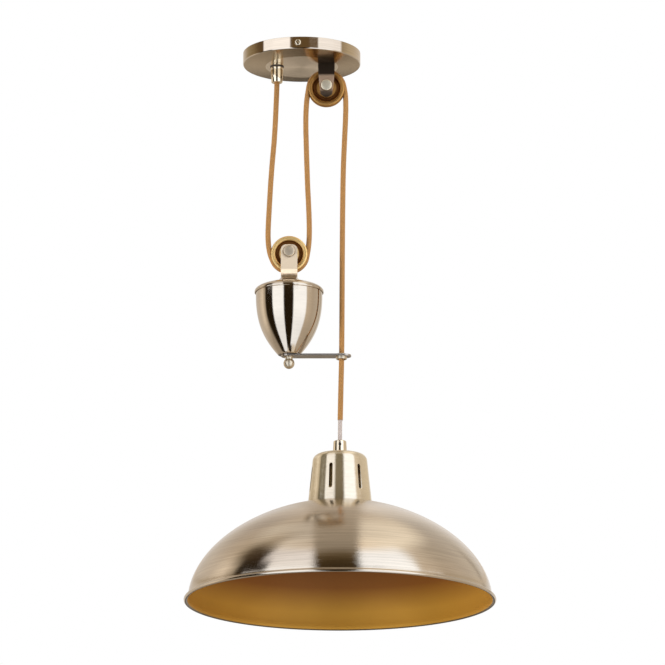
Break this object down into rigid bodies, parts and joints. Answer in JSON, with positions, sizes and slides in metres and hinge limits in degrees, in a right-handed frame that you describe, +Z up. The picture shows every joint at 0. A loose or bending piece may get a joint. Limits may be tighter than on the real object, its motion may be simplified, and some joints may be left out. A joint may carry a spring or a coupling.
{
  "type": "rise and fall pendant",
  "caption": "Domed ceiling pendant on a flex that runs over two sheaves and is balanced by a counterweight, so the lamp pulls down and pushes up.",
  "frame": {"origin": "middle of the ceiling fixing, on the ceiling plane; the pendant hangs below it", "axes": "+Z up into the ceiling, +X to the right in the front view, +Y away from the viewer"},
  "size_m": [0.3511, 0.3512, 0.6426],
  "materials": {
    "antique_brass": "satin",
    "shade_brass": "satin",
    "polished_brass": "polished",
    "fork_brass": "satin",
    "sheave_brass": "satin",
    "bronze": "satin",
    "zinc_steel": "satin",
    "arm_steel": "satin",
    "dark_steel": "satin",
    "cast_iron": "matte",
    "black_moulding": "satin",
    "white_moulding": "satin",
    "fibre": "matte",
    "ceramic": "gloss",
    "contact_brass": "satin",
    "flex_fabric": "matte",
    "tail_braid": "satin",
    "live_brown": "satin",
    "neutral_blue": "satin",
    "earth_green": "satin"
  },
  "bodies": {
    "ceiling_unit": {"ceiling_strap": "zinc_steel", "canopy": "antique_brass", "canopy_side_screws": "polished_brass", "earth_screw": "contact_brass", "terminal_block": "white_moulding", "terminal_barrels": "contact_brass", "terminal_screws": "zinc_steel", "block_screws": "zinc_steel", "gland_body": "polished_brass", "gland_washer": "fibre", "gland_locknut": "contact_brass", "gland_grub_screw": "dark_steel", "ceiling_live_core": "live_brown", "ceiling_neutral_core": "neutral_blue", "ceiling_earth_core": "earth_green", "top_fork": "fork_brass", "top_fork_screws": "zinc_steel", "top_axle": "polished_brass", "top_axle_nut": "polished_brass", "top_spacers": "fork_brass", "cord_loop": "flex_fabric", "cord_over_top": "flex_fabric", "cord_drop": "flex_fabric"},
    "fixed_sheave": {"top_sheave": "sheave_brass", "top_sheave_bush": "bronze"},
    "counterweight": {"weight_fork": "fork_brass", "weight_axle": "polished_brass", "weight_axle_nut": "polished_brass", "weight_spacers": "fork_brass", "weight_lid": "antique_brass", "weight_shell": "antique_brass", "ballast_slug": "cast_iron", "tie_rod": "zinc_steel", "tie_rod_nut": "zinc_steel", "guide_arm": "arm_steel", "guide_eyelet": "polished_brass", "finial": "polished_brass"},
    "moving_sheave": {"weight_sheave": "sheave_brass", "weight_sheave_bush": "bronze"},
    "lamp": {"cord_tail": "tail_braid", "cord_grip": "polished_brass", "cord_grip_screw": "dark_steel", "lampholder_cover": "antique_brass", "nipple": "zinc_steel", "nipple_nut": "zinc_steel", "lampholder_cap": "black_moulding", "lampholder_body": "black_moulding", "lampholder_insert": "ceramic", "insert_screws": "zinc_steel", "screw_shell": "contact_brass", "centre_contact": "contact_brass", "lamp_live_core": "live_brown", "lamp_neutral_core": "neutral_blue", "lamp_earth_core": "earth_green", "shade_ring_upper": "black_moulding", "shade_ring_lower": "black_moulding", "shade": "shade_brass"}
  },
  "joints": [
    {"name": "lamp_slide", "type": "slide", "parent": "ceiling_unit", "child": "lamp", "axis": [0, 0, 1], "range_m": [-0.28, 0.06], "deforming": ["cord_drop"]},
    {"name": "weight_slide", "type": "slide", "parent": "ceiling_unit", "child": "counterweight", "axis": [0, 0, 1], "range_m": [-0.03, 0.14], "deforming": ["cord_loop"]},
    {"name": "fixed_sheave_spin", "type": "hinge", "parent": "ceiling_unit", "child": "fixed_sheave", "pos_m": [0.0284, 0, -0.0423], "axis": [0, 1, 0], "range_deg": [-175, 800]},
    {"name": "moving_sheave_spin", "type": "hinge", "parent": "counterweight", "child": "moving_sheave", "pos_m": [-0.014, 0, -0.2392], "axis": [0, 1, 0], "range_deg": [-400, 90]}
  ],
  "couplings": [
    {"joint": "weight_slide", "follows": "lamp_slide", "ratio": -0.5},
    {"joint": "fixed_sheave_spin", "follows": "lamp_slide", "rad_per_m": -49.261},
    {"joint": "moving_sheave_spin", "follows": "lamp_slide", "rad_per_m": 24.631}
  ]
}
